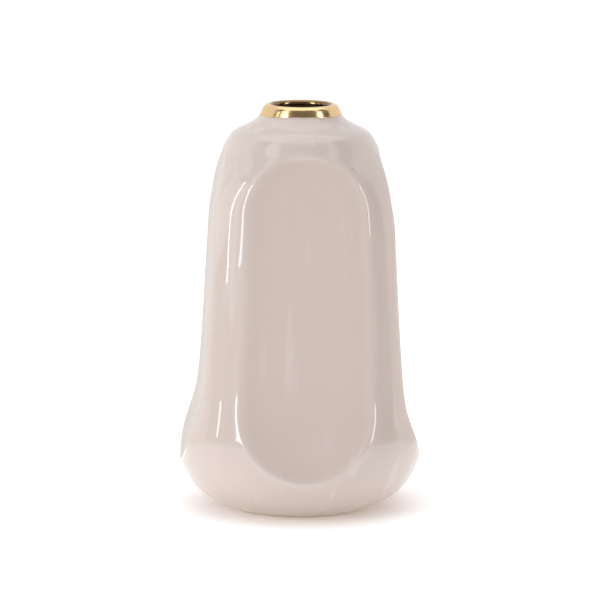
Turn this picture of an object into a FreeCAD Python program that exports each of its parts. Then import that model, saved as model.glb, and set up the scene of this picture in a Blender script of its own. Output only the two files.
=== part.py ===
import FreeCAD, Part
import math
import os

V = FreeCAD.Vector

# Overall sizes of the finished vase, mm
HEIGHT = 190.5            # table to top of the gold lip
FOOT_R = 35.5             # outer edge of the flat foot ring
BULGE_R = 59.8            # unpressed radius at the widest level
BULGE_Z = 32.0            # widest level
BODY_R = 55.2             # unpressed radius on the long side
SHOULDER_R = 48.6         # unpressed radius where the shoulder starts to close
SHOULDER_DROP = 40.5      # that level, down from the top
LIP_CREST_R = 15.2        # radius of the top line of the lip
LIP_OUT = 2.8             # lip's outer quarter, width
LIP_HIGH = 3.1            # lip's outer quarter, height
LIP_IN = 1.6              # lip's inner quarter, a circle's radius
LIP_JOIN = 30             # degrees round the outer quarter where the neck runs into it

# Pressed panels
PANEL_COUNT = 4
PANEL_LOW_HALF = 31.4     # half width at the lower arc centre
PANEL_TOP_HALF = 28.4     # half width at the upper arc centre
PANEL_LOW_Z = 52.8        # level of the lower arc centre
PANEL_TOP_DROP = 47.5     # upper arc centre, down from the top
PANEL_DISH = 1.2          # hollow in the middle of each panel
EDGE_LOW = 1.5            # softness of the rim round the lower arc
EDGE_SIDE = 5.0           # softness of the rim halfway up its straight sides
EDGE_TOP = 1.3            # softness of the rim round the upper arc

# Wall and coats
WALL = 3.8                # glaze face to glaze face, square to the wall
COAT = 0.35               # glaze, inside and outside
GOLD = 0.15               # fired gold band, drawn thicker than it is
CLING = 0.003             # keeps the gold a hair off the glaze
GOLD_DROP = 5.0           # band depth outside
GOLD_INSIDE = 6.0         # band depth inside
THROAT = 4.7              # straight part of the throat
FLARE = 7.5               # height in which the throat opens to the full inside

# Foot and floor
FOOT_LAND = 4.5           # width of the flat ring the vase stands on
FOOT_RECESS = 3.0         # table to the glazed face under the base
RECESS_LEAN = 1.0         # the recess is this much narrower at its ceiling
GLAZE_LINE = 1.5          # outside glaze stops this far above the table
FLOOR = 8.0               # table to the inside floor
FLOOR_R = 35.5            # radius of the flat inside floor
FLOOR_ROUND = 5.9         # height of the curve from floor to wall

# What follows from them
PANEL_TOP_Z = HEIGHT - PANEL_TOP_DROP
SHOULDER_Z = HEIGHT - SHOULDER_DROP
CREST = HEIGHT - GOLD
JOIN_R = LIP_CREST_R + LIP_OUT * math.cos(math.radians(LIP_JOIN))
JOIN_Z = CREST - LIP_HIGH + LIP_HIGH * math.sin(math.radians(LIP_JOIN))
THROAT_R = LIP_CREST_R - LIP_IN
THROAT_START = CREST - LIP_IN
THROAT_END = THROAT_START - THROAT
FLARE_END = THROAT_END - FLARE
FLOOR_EDGE = FLOOR + FLOOR_ROUND
SLICE = 360.0 / PANEL_COUNT


def between(a, b, share):
    return a + share * (b - a)


def outline():
    """Unpressed outline as (level, radius), in three stretches."""
    foot = ((0.0, 0.0), (0.125, 0.32), (0.3125, 0.62), (0.5625, 0.835))
    side = ((0.0, BULGE_R), (0.1525, between(BULGE_R, BODY_R, 0.46)), (0.364, BODY_R))
    side += ((0.619, between(BODY_R, SHOULDER_R, 0.28)), (0.8305, between(BODY_R, SHOULDER_R, 0.56)))
    neck = ((0.0, 0.0), (0.307, 0.183), (0.513, 0.377), (0.641, 0.474), (0.732, 0.593))
    neck += ((0.808, 0.790), (0.876, 0.908), (0.9175, 0.9506), (0.960, 0.9764), (1.0, 1.0))
    points = [(BULGE_Z * z, between(FOOT_R, BULGE_R, r)) for z, r in foot]
    points += [(between(BULGE_Z, SHOULDER_Z, z), r) for z, r in side]
    for z, r in neck:
        points.append((between(SHOULDER_Z, JOIN_Z, z), between(SHOULDER_R, JOIN_R, r)))
    return points


def outline_curve():
    curve = Part.BSplineCurve()
    points = outline()
    curve.interpolate(Points=[V(r, 0, z) for z, r in points], Parameters=[z for z, r in points])
    return curve


BELL = outline_curve()


def bell(z):
    """Unpressed radius and its slope at one level."""
    point, slope = BELL.getD1(z)
    return point.x, slope.x / slope.z


def round_radius(z, depth):
    """Unpressed radius of the face that lies depth under the outside."""
    r, slope = bell(z)
    return r - depth * math.sqrt(1.0 + slope * slope)


def soft_min(a, b, soft):
    gap = max(soft - abs(a - b), 0.0) / soft
    return min(a, b) - gap ** 3 * soft / 6.0


def rim_softness(share):
    """Softness of a panel's rim, from 0 at the lower arc centre to 1 at the upper."""
    end = EDGE_LOW if share < 0.5 else EDGE_TOP
    middle = math.sin(math.pi * min(1.0, max(0.0, share))) ** 2
    return between(end, EDGE_SIDE, middle)


def pressed_radius(turn, z, depth):
    """Radius at an angle from the middle of the nearest panel."""
    r = bell(z)[0]
    share = (z - PANEL_LOW_Z) / (PANEL_TOP_Z - PANEL_LOW_Z)
    half = PANEL_LOW_HALF + share * (PANEL_TOP_HALF - PANEL_LOW_HALF)
    past = max(PANEL_LOW_Z - z, z - PANEL_TOP_Z, 0.0)
    reach = math.hypot(r * math.sin(turn), past) / half
    if z < PANEL_LOW_Z:
        # the hollow rises to meet the bulge along the lower arc
        chord = math.sqrt(max(r * r - half * half, 1.0))
        rise = math.hypot(chord, past / reach) - chord
        flat = chord + rise * reach ** 3
    else:
        flat = math.sqrt(max(r * r - half * half + past * past, 1.0))
    flat = flat - PANEL_DISH * max(0.0, 1.0 - reach ** 4) - depth
    return soft_min(round_radius(z, depth), flat / math.cos(turn), rim_softness(share))


def turns():
    columns = 36
    return [math.radians(SLICE * (j / columns - 0.5)) for j in range(columns + 1)]


def pressed_row(z, depth):
    row = []
    for turn in turns():
        r = pressed_radius(turn, z, depth)
        row.append(V(r * math.sin(turn), -r * math.cos(turn), z))
    return row


def round_row(r, z):
    return [V(r * math.sin(turn), -r * math.cos(turn), z) for turn in turns()]


def spin(shape, angle):
    copy = shape.copy()
    copy.rotate(V(0, 0, 0), V(0, 0, 1), angle)
    return copy


def curve_through(points, stations, ends=None):
    curve = Part.BSplineCurve()
    if ends:
        curve.interpolate(Points=points, Parameters=stations, InitialTangent=ends[0], FinalTangent=ends[1])
    else:
        curve.interpolate(Points=points, Parameters=stations)
    return curve


def patch(rows):
    """One smooth face through rows of points, a slice wide."""
    across = []
    for row in rows:
        ends = (V(-row[0].y, row[0].x, 0), V(-row[-1].y, row[-1].x, 0))
        across.append(curve_through(row, turns(), ends))
    along = [0.0]
    for a, b in zip(rows, rows[1:]):
        along.append(along[-1] + a[0].distanceToPoint(b[0]))
    poles = [curve.getPoles() for curve in across]
    columns = [curve_through([net[j] for net in poles], along) for j in range(len(poles[0]))]
    grid = [column.getPoles() for column in columns]
    u, v = across[0], columns[0]
    surface = Part.BSplineSurface()
    surface.buildFromPolesMultsKnots(
        grid, u.getMultiplicities(), v.getMultiplicities(), u.getKnots(), v.getKnots(), False, False, 3, 3
    )
    return surface.toShape()


def levels(low, high, steps):
    return [low + (high - low) * i / steps for i in range(steps + 1)]


def side_levels():
    """Levels up the side, closing up towards the neck."""
    span = FLARE_END - FLOOR_EDGE
    return [FLOOR_EDGE + span * (1.2 * t - 0.2 * t ** 4) for t in levels(0.0, 1.0, 60)]


def lip_row(angle, depth):
    """Ring round the lip, from 0 outside over 90 at the crest to 180 in the throat."""
    a = math.radians(angle)
    wide, high = (LIP_OUT, LIP_HIGH) if angle < 90 else (LIP_IN, LIP_IN)
    z = CREST - high + (high - depth) * math.sin(a)
    return round_row(LIP_CREST_R + (wide - depth) * math.cos(a), z)


def neck_rows(low, depth):
    """Outside rows from a level up the neck and over to the crest."""
    top = JOIN_Z - 2 * COAT
    steps = max(2, round((top - low) / 1.0))
    rows = [pressed_row(z, depth) for z in levels(low, top, steps)]
    span = 90 - LIP_JOIN
    return rows + [lip_row(90 - span * t, depth) for t in (0.95, 0.76, 0.57, 0.38, 0.19, 0)]


def outside(depth):
    """Outside face from the glaze line up to the crest."""
    rows = [pressed_row(z, depth) for z in levels(GLAZE_LINE, FLOOR_EDGE, 5)[:-1]]
    rows += [pressed_row(z, depth) for z in side_levels()]
    return patch(rows + neck_rows(FLARE_END, depth)[1:])


def blended_row(z, depth, share, r):
    """A pressed row drawn in towards a circle of radius r as share falls to 0."""
    row = []
    for turn in turns():
        x = between(r, pressed_radius(turn, z, depth), share)
        row.append(V(x * math.sin(turn), -x * math.cos(turn), z))
    return row


def floor_row(angle, depth):
    a = math.radians(angle)
    level = FLOOR_EDGE - (FLOOR_ROUND + depth) * math.sin(a)
    row = blended_row(FLOOR_EDGE, WALL - depth, math.cos(a), FLOOR_R)
    return [V(p.x, p.y, level) for p in row]


def inside(depth):
    """Inside face from the crest down to the edge of the flat floor."""
    rows = [lip_row(angle, depth) for angle in (90, 108, 126, 144, 162, 180)]
    under = WALL - depth
    r = THROAT_R + depth
    rows += [round_row(r, z) for z in levels(THROAT_START, THROAT_END, 4)[1:]]
    for share in (0.12, 0.24, 0.36, 0.48, 0.6, 0.7, 0.79, 0.87, 0.94):
        z = between(THROAT_END, FLARE_END, share)
        rows.append(blended_row(z, under, share * share * (3 - 2 * share), r))
    rows += [pressed_row(z, under) for z in side_levels()[::-1]]
    return patch(rows + [floor_row(angle, depth) for angle in (30, 50, 67, 79, 90)])


def end_edge(face, z):
    """The edge of a patch that lies flat at one level."""
    for edge in face.Edges:
        box = edge.BoundBox
        if abs(box.ZMin - z) < 0.001 and abs(box.ZMax - z) < 0.001:
            return edge
    raise ValueError("no edge at level %.3f" % z)


def arc(r, z):
    turn = math.radians(SLICE / 2)
    x, y = r * math.sin(turn), -r * math.cos(turn)
    return Part.Arc(V(-x, y, z), V(0, -r, z), V(x, y, z)).toShape()


def bridge(a, b):
    return Part.makeRuledSurface(a, b)


def round_solid(faces):
    """Repeat a slice of faces round the axis and close them into a solid."""
    ring = [spin(face, SLICE * k) for face in faces for k in range(PANEL_COUNT)]
    shape = Part.makeCompound(ring)
    shape.sewShape(0.0005)
    return Part.makeSolid(shape.Shells[0])


def flat_ring(outer, inner):
    """Flat slice between two arcs at one level."""
    a, b = outer.Vertexes[0].Point, outer.Vertexes[-1].Point
    c, d = inner.Vertexes[-1].Point, inner.Vertexes[0].Point
    return Part.Face(Part.Wire([outer, Part.makeLine(b, c), inner, Part.makeLine(d, a)]))


def disc(edge, z):
    """Flat slice from an edge in to the axis."""
    a, b = edge.Vertexes[0].Point, edge.Vertexes[-1].Point
    middle = V(0, 0, z)
    wire = Part.Wire([edge, Part.makeLine(b, middle), Part.makeLine(middle, a)])
    return Part.Face(wire)


def make_body():
    outer, inner = outside(COAT), inside(COAT)
    ring_in = FOOT_R - FOOT_LAND
    ceiling = FOOT_RECESS + COAT
    land, lip, recess = arc(FOOT_R, 0), arc(ring_in, 0), arc(ring_in - RECESS_LEAN, ceiling)
    faces = [outer, inner, bridge(end_edge(outer, GLAZE_LINE), land), flat_ring(land, lip)]
    faces += [bridge(lip, recess), disc(recess, ceiling)]
    faces.append(disc(end_edge(inner, FLOOR - COAT), FLOOR - COAT))
    return round_solid(faces)


def make_outer_glaze():
    over, under = outside(0), outside(COAT)
    low = bridge(end_edge(over, GLAZE_LINE), end_edge(under, GLAZE_LINE))
    top = bridge(end_edge(over, CREST), end_edge(under, CREST - COAT))
    return round_solid([over, under, low, top])


def make_inner_glaze():
    over, under = inside(0), inside(COAT)
    top = bridge(end_edge(over, CREST), end_edge(under, CREST - COAT))
    face = disc(end_edge(over, FLOOR), FLOOR)
    back = disc(end_edge(under, FLOOR - COAT), FLOOR - COAT)
    return round_solid([over, under, top, face, back])


def make_base_glaze():
    return Part.makeCylinder(FOOT_R - FOOT_LAND - RECESS_LEAN, COAT, V(0, 0, FOOT_RECESS))


def gold_face(depth):
    level = HEIGHT - GOLD_DROP
    rows = neck_rows(level, depth)
    rows += [lip_row(angle, depth) for angle in (108, 126, 144, 162, 180)]
    r = THROAT_R + depth
    rows += [round_row(r, z) for z in levels(THROAT_START, HEIGHT - GOLD_INSIDE, 4)[1:]]
    return patch(rows)


def make_gold_lip():
    under, over = gold_face(-CLING), gold_face(-GOLD)
    faces = [under, over]
    for z in (HEIGHT - GOLD_DROP, HEIGHT - GOLD_INSIDE):
        faces.append(bridge(end_edge(under, z), end_edge(over, z)))
    return round_solid(faces)


os.makedirs("parts", exist_ok=True)
NODES = {
    "porcelain_body": make_body(),
    "outer_glaze": make_outer_glaze(),
    "inner_glaze": make_inner_glaze(),
    "base_glaze": make_base_glaze(),
    "gold_lip": make_gold_lip(),
}
for name, shape in NODES.items():
    print(name, shape.isValid(), shape.isClosed(), len(shape.Solids), round(shape.Volume, 1))
    shape.exportStep("parts/" + name + ".step")
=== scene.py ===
import math

import bpy
import numpy as np
from mathutils import Matrix, Vector


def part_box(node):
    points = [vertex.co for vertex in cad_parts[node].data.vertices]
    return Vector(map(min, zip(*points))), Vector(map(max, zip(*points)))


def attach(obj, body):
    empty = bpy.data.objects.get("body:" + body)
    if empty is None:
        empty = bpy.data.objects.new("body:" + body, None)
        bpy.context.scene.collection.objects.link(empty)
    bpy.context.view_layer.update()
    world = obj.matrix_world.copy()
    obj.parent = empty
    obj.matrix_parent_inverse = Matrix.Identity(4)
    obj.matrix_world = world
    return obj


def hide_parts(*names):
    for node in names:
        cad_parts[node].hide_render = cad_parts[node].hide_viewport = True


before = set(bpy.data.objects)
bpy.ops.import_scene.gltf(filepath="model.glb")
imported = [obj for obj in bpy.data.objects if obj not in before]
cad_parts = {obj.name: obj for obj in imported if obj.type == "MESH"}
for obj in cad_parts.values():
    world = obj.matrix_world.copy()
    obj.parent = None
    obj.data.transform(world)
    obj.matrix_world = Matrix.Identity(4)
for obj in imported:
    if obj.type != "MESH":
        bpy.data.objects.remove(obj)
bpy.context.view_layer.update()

MM = 0.001
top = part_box("gold_lip")[1][2] / MM

# Sizes of the glazed face, the wall and the gold, mm
FOOT_R, BULGE_R, BULGE_Z, BODY_R = 35.5, 59.8, 32.0, 55.2
SHOULDER_R, SHOULDER_DROP = 48.6, 40.5
LIP_CREST_R, LIP_OUT, LIP_IN, LIP_HIGH, LIP_JOIN = 15.2, 2.8, 1.6, 3.1, 30
PANEL_LOW_HALF, PANEL_TOP_HALF = 31.4, 28.4
PANEL_LOW_Z, PANEL_TOP_DROP, PANEL_DISH = 52.8, 47.5, 1.2
EDGE_LOW, EDGE_SIDE, EDGE_TOP = 1.5, 5.0, 1.3
GOLD, GLAZE_LINE, WALL, FOOT_LAND, RECESS = 0.15, 1.5, 3.8, 4.5, 3.35
GOLD_DROP, GOLD_INSIDE = 5.0, 6.0

# The clay mesh: how far it stays under the glazed face and the lip, and its inside, mm
CLAY_UNDER, LIP_UNDER = 0.9, 0.7
THROAT_DROP, FLARE_DROP = 9.0, 16.0
FLOOR_BEND_Z, FLOOR_Z, PINHOLE_R = 14.0, 7.2, 0.4

# How fine the meshes are: columns all round, and rows of each face
COLUMNS = 720
GLAZE_ROWS, GOLD_ROWS, LIP_ROWS, CLAY_ROWS, HOLLOW_ROWS = 460, 34, 46, 180, 90

# Unevenness of a hand-dipped glaze and a hand-painted band: height mm, scale mm, seed
GLAZE_WAVES = ((0.05, 46.0, 3), (0.012, 15.0, 8))
GOLD_WAVES = ((0.25, 40.0, 5), (0.08, 9.0, 2))
WAVES, WAVES_CREST = 9, 4.0
RUNS, RUN_SEED, RUN_R = 36, 7, 50.0

# The gold's lower edge dips this much to one side, on a ring of this radius, mm
GOLD_TILT, GOLD_RING_R, GOLD_LIFT = 0.35, 30, 0.02

crest = top - GOLD
join_z = crest - LIP_HIGH + LIP_HIGH * math.sin(math.radians(LIP_JOIN))
join_r = LIP_CREST_R + LIP_OUT * math.cos(math.radians(LIP_JOIN))
panel_top_z = top - PANEL_TOP_DROP
shoulder_z = top - SHOULDER_DROP
azimuth = np.linspace(-math.pi, math.pi, COLUMNS, endpoint=False)[None, :]


# ---------------------------------------------------------------- shape

def between(a, b, share):
    return a + share * (b - a)


def outline():
    foot = ((0.0, 0.0), (0.125, 0.32), (0.3125, 0.62), (0.5625, 0.835))
    side = ((0.0, BULGE_R), (0.1525, between(BULGE_R, BODY_R, 0.46)), (0.364, BODY_R))
    side += ((0.619, between(BODY_R, SHOULDER_R, 0.28)), (0.8305, between(BODY_R, SHOULDER_R, 0.56)))
    neck = ((0.0, 0.0), (0.307, 0.183), (0.513, 0.377), (0.641, 0.474), (0.732, 0.593))
    neck += ((0.808, 0.790), (0.876, 0.908), (0.9175, 0.9506), (0.960, 0.9764), (1.0, 1.0))
    points = [(BULGE_Z * z, between(FOOT_R, BULGE_R, r)) for z, r in foot]
    points += [(between(BULGE_Z, shoulder_z, z), r) for z, r in side]
    points += [(between(shoulder_z, join_z, z), between(SHOULDER_R, join_r, r)) for z, r in neck]
    return np.array(points)


class Spline:
    """Smooth cubic through points, with Bessel ends."""

    def __init__(self, points):
        self.x, y = points[:, 0], points[:, 1]
        h = np.diff(self.x)
        slope = np.diff(y) / h
        n = len(y)
        a = np.zeros((n, n))
        b = np.zeros(n)
        a[0, 0] = a[-1, -1] = 1.0
        b[0] = ((2 * h[0] + h[1]) * slope[0] - h[0] * slope[1]) / (h[0] + h[1])
        b[-1] = ((2 * h[-1] + h[-2]) * slope[-1] - h[-1] * slope[-2]) / (h[-1] + h[-2])
        for i in range(1, n - 1):
            a[i, i - 1], a[i, i], a[i, i + 1] = h[i], 2 * (h[i - 1] + h[i]), h[i - 1]
            b[i] = 3 * (h[i] * slope[i - 1] + h[i - 1] * slope[i])
        self.h, self.y, self.d, self.slope = h, y, np.linalg.solve(a, b), slope

    def __call__(self, x):
        i = np.clip(np.searchsorted(self.x, x) - 1, 0, len(self.h) - 1)
        h, t = self.h[i], x - self.x[i]
        c = (3 * self.slope[i] - 2 * self.d[i] - self.d[i + 1]) / h
        e = (self.d[i] + self.d[i + 1] - 2 * self.slope[i]) / h ** 2
        value = self.y[i] + t * (self.d[i] + t * (c + t * e))
        return value, self.d[i] + t * (2 * c + 3 * t * e)


bell = Spline(outline())


def soft_min(a, b, soft):
    gap = np.maximum(soft - np.abs(a - b), 0.0) / soft
    return np.minimum(a, b) - gap ** 3 * soft / 6.0


def glazed_radius(azimuth, z, depth=0.0):
    """Radius of the glazed face, with how pressed and how near a rim each point is."""
    r, slope = bell(z)
    turn = (azimuth + math.pi / 4) % (math.pi / 2) - math.pi / 4
    share = (z - PANEL_LOW_Z) / (panel_top_z - PANEL_LOW_Z)
    half = PANEL_LOW_HALF + share * (PANEL_TOP_HALF - PANEL_LOW_HALF)
    past = np.maximum(np.maximum(PANEL_LOW_Z - z, z - panel_top_z), 0.0)
    across = r * np.sin(turn)
    reach = np.sqrt(across * across + past * past) / half
    chord = np.sqrt(np.maximum(r * r - half * half, 1.0))
    rim_past = past / np.maximum(reach, 1e-6)
    rise = np.sqrt(chord * chord + rim_past * rim_past) - chord
    straight = np.sqrt(np.maximum(r * r - half * half + past * past, 1.0))
    flat = np.where(z < PANEL_LOW_Z, chord + rise * reach ** 3, straight)
    flat = flat - PANEL_DISH * np.maximum(0.0, 1.0 - reach ** 4) - depth
    middle = np.sin(math.pi * np.clip(share, 0.0, 1.0)) ** 2
    soft = np.where(share < 0.5, EDGE_LOW, EDGE_TOP)
    soft = soft + middle * (EDGE_SIDE - soft)
    plain = r - depth * np.sqrt(1.0 + slope ** 2)
    return soft_min(plain, flat / np.cos(turn), soft), reach


# ---------------------------------------------------------------- meshes

def placed(name, data):
    """A new object in the scene, from a mesh, light or camera."""
    obj = bpy.data.objects.new(name, data)
    bpy.context.collection.objects.link(obj)
    return obj


def grid_object(name, rings, closed_rows=False, data=None):
    """A smooth quad mesh through an array of rings (rows, columns, xyz in mm)."""
    rows, columns = rings.shape[:2]
    mesh = bpy.data.meshes.new(name)
    index = np.arange(rows * columns).reshape(rows, columns)
    low = index if closed_rows else index[:-1]
    high = np.roll(index, -1, 0) if closed_rows else index[1:]
    faces = np.stack([low, np.roll(low, -1, 1), np.roll(high, -1, 1), high], -1).reshape(-1, 4)
    mesh.from_pydata((rings.reshape(-1, 3) * MM).tolist(), [], faces.tolist())
    mesh.shade_smooth()
    for key, values in (data or {}).items():
        layer = mesh.attributes.new(key, "FLOAT", "POINT")
        layer.data.foreach_set("value", values.astype(np.float32).ravel())
    return placed(name, mesh)


def rings_from(radius, azimuth, z):
    """Rings of points from radii and levels in mm."""
    z = np.broadcast_to(z, radius.shape)
    return np.stack([radius * np.sin(azimuth), -radius * np.cos(azimuth), z], -1)


def side_levels(low, high, count):
    """Levels that close up towards both ends."""
    t = np.linspace(0, 1, count)
    return low + (high - low) * (t - 0.06 * np.sin(2 * math.pi * t))


def wander(points, scale, seed):
    """Slow smooth unevenness, about 1 high, at points given in mm."""
    rng = np.random.default_rng(seed)
    total = np.zeros(points.shape[:-1])
    for wave in range(WAVES):
        way = rng.normal(size=3)
        way /= np.linalg.norm(way) * scale * rng.uniform(0.7, 1.6)
        total += np.sin(points @ way * 2 * math.pi + rng.uniform(0, 6.3))
    return total / WAVES_CREST


def uneven(points, waves):
    return sum(height * wander(points, scale, seed) for height, scale, seed in waves)


def runs(z):
    """Thin vertical runs where the glaze gathered while it melted."""
    total = np.zeros((z.shape[0], azimuth.shape[1]))
    rng = np.random.default_rng(RUN_SEED)
    for start in np.linspace(-180, 170, RUNS):
        place = math.radians(start + rng.uniform(-4, 4))
        high, low = top - rng.uniform(22, 60), rng.uniform(70, 130)
        wide = rng.uniform(0.9, 1.6) / RUN_R
        off = (azimuth - place + math.pi) % (2 * math.pi) - math.pi
        sway = 0.012 * np.sin(z / 17.0 + start)
        span = np.clip((high - z) / 9.0, 0, 1) * np.clip((z - low) / 25.0, 0, 1)
        total += rng.uniform(0.04, 0.12) * span * np.exp(-((off - sway) / wide) ** 2)
    return total


def ring_at(radius, z):
    """One level ring from its radius at each column."""
    return rings_from(radius, azimuth, np.array([[float(z)]]))


def lip_ring(angle, depth=0.0):
    """One ring of the rounded lip, from 0 outside over 90 at the crest to 180 in the throat."""
    a = math.radians(angle)
    wide = (LIP_OUT if angle < 90 else LIP_IN) - depth
    high = LIP_HIGH if angle < 90 else LIP_IN
    base = crest - high
    r = np.full(azimuth.shape, LIP_CREST_R + wide * math.cos(a))
    return ring_at(r, base + (high - depth) * math.sin(a))


def plain_ring(r, z):
    return ring_at(np.full(azimuth.shape, float(r)), z)


def pressed_radius(z, depth=0.0):
    return glazed_radius(azimuth, np.array([[float(z)]]), depth)[0]


def make_glaze():
    """The outer glaze: a rolled edge above the foot, the pressed sides, the lip."""
    z = side_levels(GLAZE_LINE, join_z - 0.3, GLAZE_ROWS)[:, None]
    radius, reach = glazed_radius(azimuth, z)
    rings = rings_from(radius, azimuth, z)
    fade = np.clip((top - 12 - z) / 20, 0, 1) * np.clip(z / 8, 0, 1)
    radius = radius + (uneven(rings, GLAZE_WAVES) + runs(z)) * fade
    rings = rings_from(radius, azimuth, z)
    over = [lip_ring(angle) for angle in np.linspace(LIP_JOIN + 2, 90, 12)]
    rolled_edge = ((0.05, 0.9), (0.1, 0.5), (0.08, 0.2))
    low = [ring_at(radius[:1] - step, GLAZE_LINE - drop) for drop, step in rolled_edge]
    rings = np.concatenate(low + [rings] + over)
    before, after = np.repeat(reach[:1], len(low), 0), np.repeat(reach[-1:], len(over), 0)
    reach = np.concatenate([before, reach, after])
    height = rings[..., 2] / top
    return grid_object("glaze_shell", rings, data={"reach": reach, "level": height})


def make_gold():
    """The band: a wandering lower edge outside, over the lip, down into the throat."""
    ring = GOLD_RING_R * np.stack([np.sin(azimuth), np.cos(azimuth), 0 * azimuth], -1)
    start = top - GOLD_DROP + uneven(ring, GOLD_WAVES) + GOLD_TILT * np.cos(azimuth)
    rows = []
    for i, t in enumerate(np.linspace(0, 1, GOLD_ROWS)):
        z = start + (join_z - 0.2 - start) * t
        r, slope = bell(z)
        thick = GOLD * min(1.0, (i / 3.0) ** 0.5) + GOLD_LIFT
        rows.append(rings_from(r + thick * np.sqrt(1 + slope ** 2), azimuth, z))
    rows += [lip_ring(angle, -GOLD) for angle in np.linspace(LIP_JOIN + 2, 180, LIP_ROWS)]
    inner = LIP_CREST_R - LIP_IN - GOLD
    rows += [plain_ring(inner, z) for z in np.linspace(crest - LIP_IN, top - GOLD_INSIDE, 8)[1:]]
    rings = np.concatenate(rows)
    along = np.repeat(np.linspace(0, 1, len(rings))[:, None], COLUMNS, 1)
    return grid_object("gold_band", rings, data={"along": along})


def make_clay():
    """The clay under the glaze, whole: recessed base, foot ring, outside, lip, inside, floor."""
    land = FOOT_R - FOOT_LAND
    under = [(PINHOLE_R, RECESS), (land - 3.0, RECESS), (land - 1.4, RECESS - 0.25)]
    under += [(land - 0.7, RECESS - 1.2), (land - 0.35, 0.7), (land - 0.1, 0.25)]
    under += [(land + 0.35, 0.03), (land + 0.8, 0.0)]
    under += [(FOOT_R - 0.8, 0.0), (FOOT_R - 0.2, 0.05), (FOOT_R + 0.4, 0.32)]
    rows = [plain_ring(r, z) for r, z in under]
    rows += [ring_at(pressed_radius(z) - 0.8, z) for z in np.linspace(0.85, GLAZE_LINE, 4)]
    sides = side_levels(GLAZE_LINE + 0.6, join_z - 0.6, CLAY_ROWS)
    rows += [ring_at(pressed_radius(z, CLAY_UNDER), z) for z in sides]
    rows += [lip_ring(angle, LIP_UNDER) for angle in np.linspace(LIP_JOIN + 4, 180, 14)]
    throat = LIP_CREST_R - LIP_IN + LIP_UNDER
    rows += [plain_ring(throat, z) for z in np.linspace(crest - 2.5, top - THROAT_DROP, 4)]
    inside = WALL - CLAY_UNDER
    for t in np.linspace(0.1, 1, 10):
        z = between(top - THROAT_DROP, top - FLARE_DROP, t)
        flare = t * t * (3 - 2 * t)
        rows.append(ring_at(between(throat, pressed_radius(z, inside), flare), z))
    for z in np.linspace(top - FLARE_DROP - 1, FLOOR_BEND_Z, HOLLOW_ROWS):
        rows.append(ring_at(pressed_radius(z, inside), z))
    rim = pressed_radius(FLOOR_BEND_Z, inside)
    for angle in np.radians((30, 55, 75, 90)):
        z = between(FLOOR_BEND_Z, FLOOR_Z, math.sin(angle))
        rows.append(ring_at(between(FOOT_R, rim, math.cos(angle)), z))
    rows.append(plain_ring(PINHOLE_R, FLOOR_Z))
    return grid_object("clay_body", np.concatenate(rows), closed_rows=True)


# ---------------------------------------------------------------- shading

# Colours of the glaze, gold, liner and clay, linear
BLUSH_DEEP, BLUSH_PALE = (0.578, 0.492, 0.440, 1), (0.606, 0.518, 0.466, 1)
# The second colour below is partly glaze pooled in the dished panels and partly painted shade there
THIN_RIM, POOLED_AND_SHADED = (0.68, 0.60, 0.56, 1), (0.55, 0.455, 0.40, 1)
# The first colour below is a painted highlight: pale streaks that stand in for reflections
PAINTED_STREAK_HIGHLIGHT, THIN_FOOT, IRON_SPOT = (0.70, 0.62, 0.58, 1), (0.70, 0.61, 0.54, 1), (0.16, 0.10, 0.07, 1)
GOLD_DEEP, GOLD_PALE = (0.86, 0.585, 0.28, 1), (0.94, 0.69, 0.38, 1)
# The second colour below is painted shade for inside the throat, not a colour of the gold itself
GOLD_THIN, GOLD_THROAT_SHADE, PINHOLE = (0.80, 0.50, 0.30, 1), (0.16, 0.10, 0.05, 1), (0.45, 0.26, 0.12, 1)
LINER_INSIDE, LINER_BASE, DUST = (0.62, 0.52, 0.46), (0.74, 0.64, 0.58), (0.3, 0.22, 0.17, 1)
CLAY_DEEP, CLAY_PALE = (0.70, 0.63, 0.55, 1), (0.82, 0.76, 0.68, 1)
SOOT, RUBBED = (0.36, 0.28, 0.21, 1), (0.58, 0.52, 0.46, 1)


class Socket:
    """Wraps a shader socket so that node maths reads as an expression."""

    def __init__(self, tree, link):
        self.tree, self.link = tree, link

    def node(self, kind, settings=None, inputs=None, out=0):
        made = self.tree.nodes.new("ShaderNode" + kind)
        for key, value in (settings or {}).items():
            setattr(made, key, value)
        for key, value in (inputs or {}).items():
            if isinstance(value, Socket):
                self.tree.links.new(value.link, made.inputs[key])
            else:
                made.inputs[key].default_value = value
        return Socket(self.tree, made.outputs[out])

    def maths(self, operation, *values):
        return self.node("Math", {"operation": operation}, dict(enumerate(values)))

    def __add__(self, other):
        return self.maths("ADD", self, other)

    def __sub__(self, other):
        return self.maths("SUBTRACT", self, other)

    def __mul__(self, other):
        return self.maths("MULTIPLY", self, other)

    def __rsub__(self, other):
        return self.maths("SUBTRACT", other, self)

    __radd__, __rmul__ = __add__, __mul__

    def over(self, low, high):
        """0 below low, 1 above high, smooth between."""
        settings = {"interpolation_type": "SMOOTHSTEP"}
        return self.node("MapRange", settings, {"Value": self, "From Min": low, "From Max": high})

    def mix(self, a, b):
        """Colour a where this is 0 and b where it is 1."""
        return self.node("Mix", {"data_type": "RGBA"}, {0: self, 6: a, 7: b}, 2)


def material(name, **constants):
    """A new material, its shader with these constants, and a start for its nodes."""
    made = bpy.data.materials.new(name)
    made.use_nodes = True
    shader = made.node_tree.nodes["Principled BSDF"]
    for key, value in constants.items():
        shader.inputs[key.replace("_", " ")].default_value = value
    start = Socket(made.node_tree, None)
    return made, shader, start


def plug(shader, name, socket):
    socket.tree.links.new(socket.link, shader.inputs[name])


def coords(start):
    return start.node("TexCoord", out=3)


def grain(start, where, scale, detail=2.0, rough=0.5, warp=0.0):
    values = {"Vector": where, "Scale": scale, "Detail": detail, "Roughness": rough, "Distortion": warp}
    return start.node("TexNoise", None, values)


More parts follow.
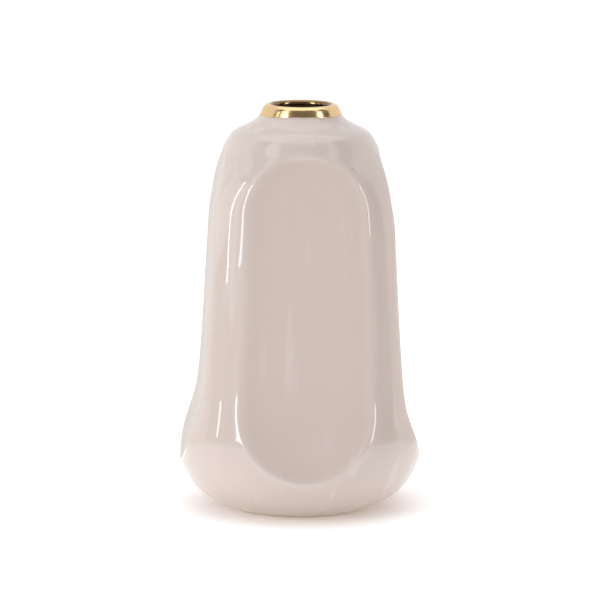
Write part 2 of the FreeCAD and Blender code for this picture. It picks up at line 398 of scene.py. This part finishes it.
def specks(start, where, scale, size):
    cell = start.node("TexVoronoi", None, {"Vector": where, "Scale": scale, "Randomness": 1.0})
    return 1.0 - cell.over(size * 0.5, size)


def bump(start, height, strength, distance):
    values = {"Height": height, "Strength": strength, "Distance": distance}
    return start.node("Bump", None, values)


def attribute(start, name):
    return start.node("Attribute", {"attribute_name": name}, out=2)


def blush_glaze():
    """Pale glaze: cloudy, paler where it thins on the rims and the foot, darker where it pools in the
    dished panels and partly painted shade there, with pale upright streaks of painted highlight.
    """
    coat = {"Coat_Roughness": 0.03, "Coat_IOR": 1.6}
    made, shader, s = material("blush_glaze", IOR=1.5, Specular_IOR_Level=0.12, **coat)
    p = coords(s)
    reach, level = attribute(s, "reach"), attribute(s, "level")
    cloud = grain(s, p, scale=14.0, detail=3.0, rough=0.55, warp=0.4)
    fine = grain(s, p, scale=90.0)
    base = cloud.mix(BLUSH_DEEP, BLUSH_PALE)
    rim = reach.over(0.86, 0.99) * (1.0 - reach.over(1.02, 1.14))
    base = (rim * 0.25).mix(base, THIN_RIM)
    # Darker just inside the panel rims: partly glaze pooled in the dish, partly painted shade in the recess
    pool_and_shade_mask = reach.over(0.62, 0.9) * (1.0 - reach.over(0.9, 1.0)) * 0.25
    base = pool_and_shade_mask.mix(base, POOLED_AND_SHADED)
    # Painted highlight: pale upright streaks stand in for reflections running down the panels
    drawn = s.node("VectorMath", {"operation": "MULTIPLY"}, {0: p, 1: (1.0, 1.0, 0.10)})
    streak_highlight_mask = grain(s, drawn, scale=95.0, warp=0.3).over(0.57, 0.70)
    base = (streak_highlight_mask * 0.40).mix(base, PAINTED_STREAK_HIGHLIGHT)
    low = 1.0 - level.over(0.008, 0.03)
    base = (low * 0.4).mix(base, THIN_FOOT)
    spots = specks(s, p, scale=38.0, size=0.018) * grain(s, p, scale=21.0).over(0.55, 0.66)
    base = (spots * 0.85).mix(base, IRON_SPOT)
    plug(shader, "Base Color", base)
    plug(shader, "Roughness", 0.13 + 0.08 * cloud + 0.03 * fine)
    plug(shader, "Coat Weight", 0.85 + 0.15 * fine)
    return made


def gold_lustre():
    """Fired gold: brushed, coppery at its thin edge, pinholed inside the throat and darkened there by
    painted shade.
    """
    made, shader, s = material("gold_lustre", Metallic=1.0)
    p = coords(s)
    along = attribute(s, "along")
    cloud = grain(s, p, scale=60.0, detail=3.0, rough=0.6, warp=0.5)
    stroke = s.node("VectorMath", {"operation": "MULTIPLY"}, {0: p, 1: (1.0, 1.0, 7.0)})
    brush = grain(s, stroke, scale=70.0)
    base = cloud.mix(GOLD_DEEP, GOLD_PALE)
    edge = 1.0 - along.over(0.0, 0.06)
    base = (edge * 0.6).mix(base, GOLD_THIN)
    # Painted shade: the gold turns near black down inside the throat
    inner = along.over(0.60, 0.74)
    base = (inner * 0.85).mix(base, GOLD_THROAT_SHADE)
    pin = specks(s, p, scale=130.0, size=0.06) * cloud.over(0.5, 0.6)
    base = (pin * 0.6).mix(base, PINHOLE)
    plug(shader, "Base Color", base)
    plug(shader, "Roughness", 0.10 + 0.14 * brush + 0.12 * edge)
    plug(shader, "Normal", bump(s, brush * 0.6 + cloud * 0.4, strength=0.12, distance=0.0004))
    return made


def liner_glaze(name, tint):
    """The poured glaze of the inside and the base recess, with dust in it."""
    made, shader, s = material(name, IOR=1.5, Coat_Weight=0.6, Coat_Roughness=0.05)
    p = coords(s)
    cloud = grain(s, p, scale=22.0, detail=3.0, rough=0.6)
    base = cloud.mix((tint[0] * 0.88, tint[1] * 0.86, tint[2] * 0.84, 1), (*tint, 1))
    dust = specks(s, p, scale=60.0, size=0.03)
    base = (dust * 0.5).mix(base, DUST)
    plug(shader, "Base Color", base)
    plug(shader, "Roughness", 0.18 + 0.15 * cloud)
    plug(shader, "Normal", bump(s, grain(s, p, scale=60.0), strength=0.08, distance=0.0005))
    return made


def bisque():
    """Bare fired clay: gritty, with specks of soot, rubbed where it stands."""
    made, shader, s = material("bisque_clay", IOR=1.45)
    p = coords(s)
    cloud = grain(s, p, scale=30.0, detail=4.0, rough=0.6)
    grit = grain(s, p, scale=420.0, detail=3.0, rough=0.7)
    base = cloud.mix(CLAY_DEEP, CLAY_PALE)
    soot = specks(s, p, scale=170.0, size=0.05)
    base = (soot * 0.6).mix(base, SOOT)
    rub = p.node("SeparateXYZ", None, {0: p}, 2).over(0.0004, 0.0018)
    base = ((1.0 - rub) * 0.3).mix(base, RUBBED)
    plug(shader, "Base Color", base)
    plug(shader, "Roughness", 0.66 + 0.24 * grit)
    plug(shader, "Normal", bump(s, grit, strength=0.35, distance=0.0004))
    return made


def floor_paint():
    """Pale studio floor that glows less close to the vase: the weaker glow is a painted shadow round the
    foot, added to the soft shadow the lamps cast.
    """
    made, shader, s = material("floor_paint", IOR=1.4)
    p = coords(s)
    cloud = grain(s, p, scale=1.2)
    plug(shader, "Base Color", cloud.mix((0.84, 0.825, 0.815, 1), (0.86, 0.845, 0.835, 1)))
    plug(shader, "Roughness", 0.5 + 0.1 * cloud)
    away = s.node("VectorMath", {"operation": "LENGTH"}, {0: p}, 1)
    # Painted shadow: the floor's glow is lowest within a few cm of the vase and rises further out
    glow = away.over(0.034, 0.08).mix((0.20, 0.17, 0.15, 1), (0.40, 0.41, 0.42, 1))
    glow = away.over(0.12, 0.6).mix(glow, (0.36, 0.36, 0.37, 1))
    plug(shader, "Emission Color", glow)
    shader.inputs["Emission Strength"].default_value = 1.0
    return made


# ---------------------------------------------------------------- build

glaze = make_glaze()
glaze.data.materials.append(blush_glaze())
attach(glaze, "root")
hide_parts("outer_glaze")

gold = make_gold()
gold.data.materials.append(gold_lustre())
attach(gold, "root")
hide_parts("gold_lip")


def paint(node, made):
    """Gives a node that is carried over from the frame its finish."""
    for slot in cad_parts[node].material_slots:
        slot.material = made


paint("inner_glaze", liner_glaze("liner_inside", LINER_INSIDE))
paint("base_glaze", liner_glaze("liner_base", LINER_BASE))

clay = make_clay()
clay.data.materials.append(bisque())
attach(clay, "root")
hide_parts("porcelain_body")


# ---------------------------------------------------------------- stage

# Camera: turn round the vase, tilt, roll, distance and height, and lens mm
PHI, PITCH, ROLL = math.radians(3.67), math.radians(-9.73), math.radians(0.31)
CAMERA_AWAY, CAMERA_UP, LENS = 1.78713, 0.40357, 230.3

# The room, m: how far its wall stands, and its low, middle and top levels; the floor,
# the reflecting sheets just over it, and how far the low and high softboxes stand
ROOM, ROOM_LOW, ROOM_MIDDLE, ROOM_TOP = 3.4, -1.5, 2.5, 5.6
FLOOR_HALF, SHEET_Z, NEAR, FAR = 9, 0.002, 1.5, 2.2
COOL, COOLER = (0.96, 0.98, 1.0), (0.95, 0.97, 1.0)
NEUTRAL, BLUSH_TINT = (1.0, 0.985, 0.975, 1), (1.0, 0.93, 0.90, 1)


def stage_card(name, corners, made):
    """A flat face of the studio."""
    mesh = bpy.data.meshes.new(name)
    mesh.from_pydata(corners, [], [tuple(range(len(corners)))])
    mesh.materials.append(made)
    obj = placed(name, mesh)
    return obj


def seen_from_camera(angle, distance, height=0.0):
    """A place round the vase, by angle from the camera's side, positive to the right."""
    a = math.radians(angle) - PHI
    return Vector((distance * math.sin(a), -distance * math.cos(a), height))


def wall_paint(name, glow, tint=NEUTRAL):
    """Dark matt paint with an even glow."""
    made, shader, s = material(name)
    cloud = grain(s, coords(s), scale=2.0)
    plug(shader, "Base Color", cloud.mix((0.02, 0.017, 0.015, 1), (0.03, 0.026, 0.024, 1)))
    shader.inputs["Roughness"].default_value = 0.9
    shader.inputs["Emission Color"].default_value = tint
    shader.inputs["Emission Strength"].default_value = glow
    return made


def glossy_sheet(name, first, last, near, paint_used):
    """Part of a ring on the floor that only reflections see."""
    turn = [first + (last - first) * i / 10 for i in range(11)]
    edge = [tuple(seen_from_camera(angle, ROOM, SHEET_Z)) for angle in turn]
    edge += [tuple(seen_from_camera(angle, near, SHEET_Z)) for angle in reversed(turn)]
    sheet = stage_card(name, edge, paint_used)
    sheet.visible_camera = sheet.visible_diffuse = sheet.visible_shadow = False


half = FLOOR_HALF
stage_card("floor", [(-half, -half, 0), (half, -half, 0), (half, half, 0), (-half, half, 0)], floor_paint())
grey_sheet, blush_sheet = wall_paint("front_grey", 0.2), wall_paint("back_blush", 0.72, BLUSH_TINT)
glossy_sheet("front_sheet", first=-92, last=98, near=0.45, paint_used=grey_sheet)
glossy_sheet("back_sheet", first=98, last=268, near=0.2, paint_used=blush_sheet)

# A curved room round the front: grey as high as the shoulder reflects, dark above
angles = [-92, -67, -42, -18, 6, 30, 54, 76, 98]
dark = wall_paint("dark_wall", 0.15)
for i, (a, b) in enumerate(zip(angles, angles[1:])):
    grey = wall_paint("grey_wall_%d" % i, between(0.28, 0.10, i / 7))
    for low, high, paint_used in ((ROOM_LOW, ROOM_MIDDLE, grey), (ROOM_MIDDLE, ROOM_TOP, dark)):
        corners = [(a, low), (b, low), (b, high), (a, high)]
        corners = [tuple(seen_from_camera(angle, ROOM, level)) for angle, level in corners]
        stage_card("room_wall_%d_%d" % (i, low > 0), corners, paint_used)


def area_lamp(name, width, length, power, tint=(1, 1, 1)):
    light = bpy.data.lights.new(name, "AREA")
    light.shape = "RECTANGLE"
    light.size, light.size_y, light.energy = width, length, power
    light.color = tint
    lamp = placed(name, light)
    lamp.visible_camera = False
    return lamp


def softbox(name, angle, distance, width, low, high, power, tint=(1, 1, 1)):
    """An upright softbox that faces the vase, m and W."""
    lamp = area_lamp(name, width, high - low, power, tint)
    place = seen_from_camera(angle, distance, (low + high) / 2)
    lamp.location = place
    lamp.rotation_euler = Vector((place.x, place.y, 0)).to_track_quat("Z", "Y").to_euler()


softbox("soft_left", -50, NEAR, width=0.42, low=0.06, high=1.25, power=11.5, tint=COOLER)
softbox("soft_right", 62, NEAR, width=0.30, low=0.10, high=1.25, power=7)
softbox("strip_left", -78.5, NEAR, width=0.045, low=0.04, high=1.3, power=1.4)
softbox("high_left", -55, FAR, width=0.95, low=1.3, high=3.4, power=8, tint=COOL)
softbox("high_right", 63, FAR, width=0.6, low=1.3, high=3.4, power=3.6)
area_lamp("soft_top", width=2.2, length=1.6, power=7).location = (0, 0.3, 1.9)

scene = bpy.context.scene
world = bpy.data.worlds.new("studio")
scene.world = world
world.use_nodes = True
backdrop = world.node_tree.nodes["Background"].inputs
backdrop["Color"].default_value = (0.99, 0.975, 0.99, 1)
backdrop["Strength"].default_value = 0.9

camera_data = bpy.data.cameras.new("camera")
camera_data.lens = LENS
camera_data.sensor_width = 36.0
camera_data.clip_end = 50
camera = placed("camera", camera_data)
place = seen_from_camera(0, CAMERA_AWAY, CAMERA_UP)
level = math.cos(PITCH)
ahead = Vector((math.sin(PHI) * level, math.cos(PHI) * level, math.sin(PITCH)))
turn = ahead.to_track_quat("-Z", "Y").to_matrix().to_4x4()
camera.matrix_world = Matrix.Translation(place) @ turn @ Matrix.Rotation(ROLL, 4, "Z")
scene.camera = camera
scene.view_settings.view_transform = "Standard"
